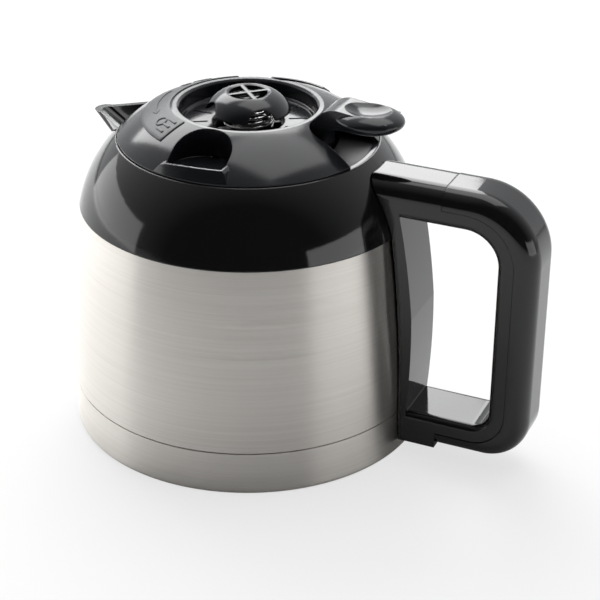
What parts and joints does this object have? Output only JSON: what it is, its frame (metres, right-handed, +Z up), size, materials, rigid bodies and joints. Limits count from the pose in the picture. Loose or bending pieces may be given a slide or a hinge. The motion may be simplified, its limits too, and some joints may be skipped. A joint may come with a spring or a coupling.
{
  "type": "insulated serving jug",
  "caption": "Insulated steel serving jug of a drip coffee maker: loop handle, pouring spout, and a screw lid whose thumb lever opens a sprung central valve.",
  "frame": {"origin": "middle of the base, on the plane that the jug stands on", "axes": "+Z up along the axis of the flask, +X towards the handle, -X towards the spout"},
  "size_m": [0.1896, 0.14, 0.1353],
  "materials": {
    "brushed_steel": "brushed, satin",
    "bright_steel": "bright drawn wire and turned steel",
    "black_gloss": "polished black moulding",
    "black_satin": "satin black moulding",
    "black_inner": "plain black moulding",
    "grey_rubber": "moulded silicone"
  },
  "bodies": {
    "jug": {"base_cup": "brushed_steel", "outer_shell": "brushed_steel", "inner_vessel": "brushed_steel", "getter": "bright_steel", "collar": "black_gloss", "thread_ring": "black_inner", "neck_seal": "grey_rubber", "handle_frame": "black_gloss", "handle_grip": "black_gloss", "handle_bracket": "bright_steel", "handle_screws": "bright_steel", "grip_screws": "bright_steel"},
    "seal": {"lid_gasket": "grey_rubber"},
    "lid": {"lid_base": "black_inner", "lid_cover": "black_satin", "lid_screws": "bright_steel", "funnel_tray": "black_satin", "valve_guide": "black_inner", "lever_pin": "bright_steel", "valve_spring": "bright_steel"},
    "lever": {"thumb_lever": "black_satin"},
    "valve": {"valve_cap": "black_satin", "valve_stem": "black_inner", "valve_disc": "black_inner", "valve_seal": "grey_rubber", "stem_screw": "bright_steel"}
  },
  "joints": [
    {"name": "lid_rise", "type": "slide", "parent": "jug", "child": "seal", "axis": [0, 0, 1], "range_m": [0, 0.048]},
    {"name": "lid_turn", "type": "hinge", "parent": "seal", "child": "lid", "pos_m": [0, 0, 0.115], "axis": [0, 0, 1], "range_deg": [0, 360]},
    {"name": "lever_press", "type": "hinge", "parent": "lid", "child": "lever", "pos_m": [-0.018, 0, 0.1166], "axis": [0, 1, 0], "range_deg": [0, 6.38]},
    {"name": "valve_drop", "type": "slide", "parent": "lid", "child": "valve", "axis": [0, 0, -1], "range_m": [0, 0.00205], "stiffness_N_per_m": 120, "springref_m": -0.003, "deforming": ["valve_spring"]}
  ],
  "couplings": [
    {"joint": "lid_rise", "follows": "lid_turn", "m_per_rad": 0.0076394},
    {"joint": "valve_drop", "follows": "lever_press", "m_per_rad": 0.017963}
  ]
}
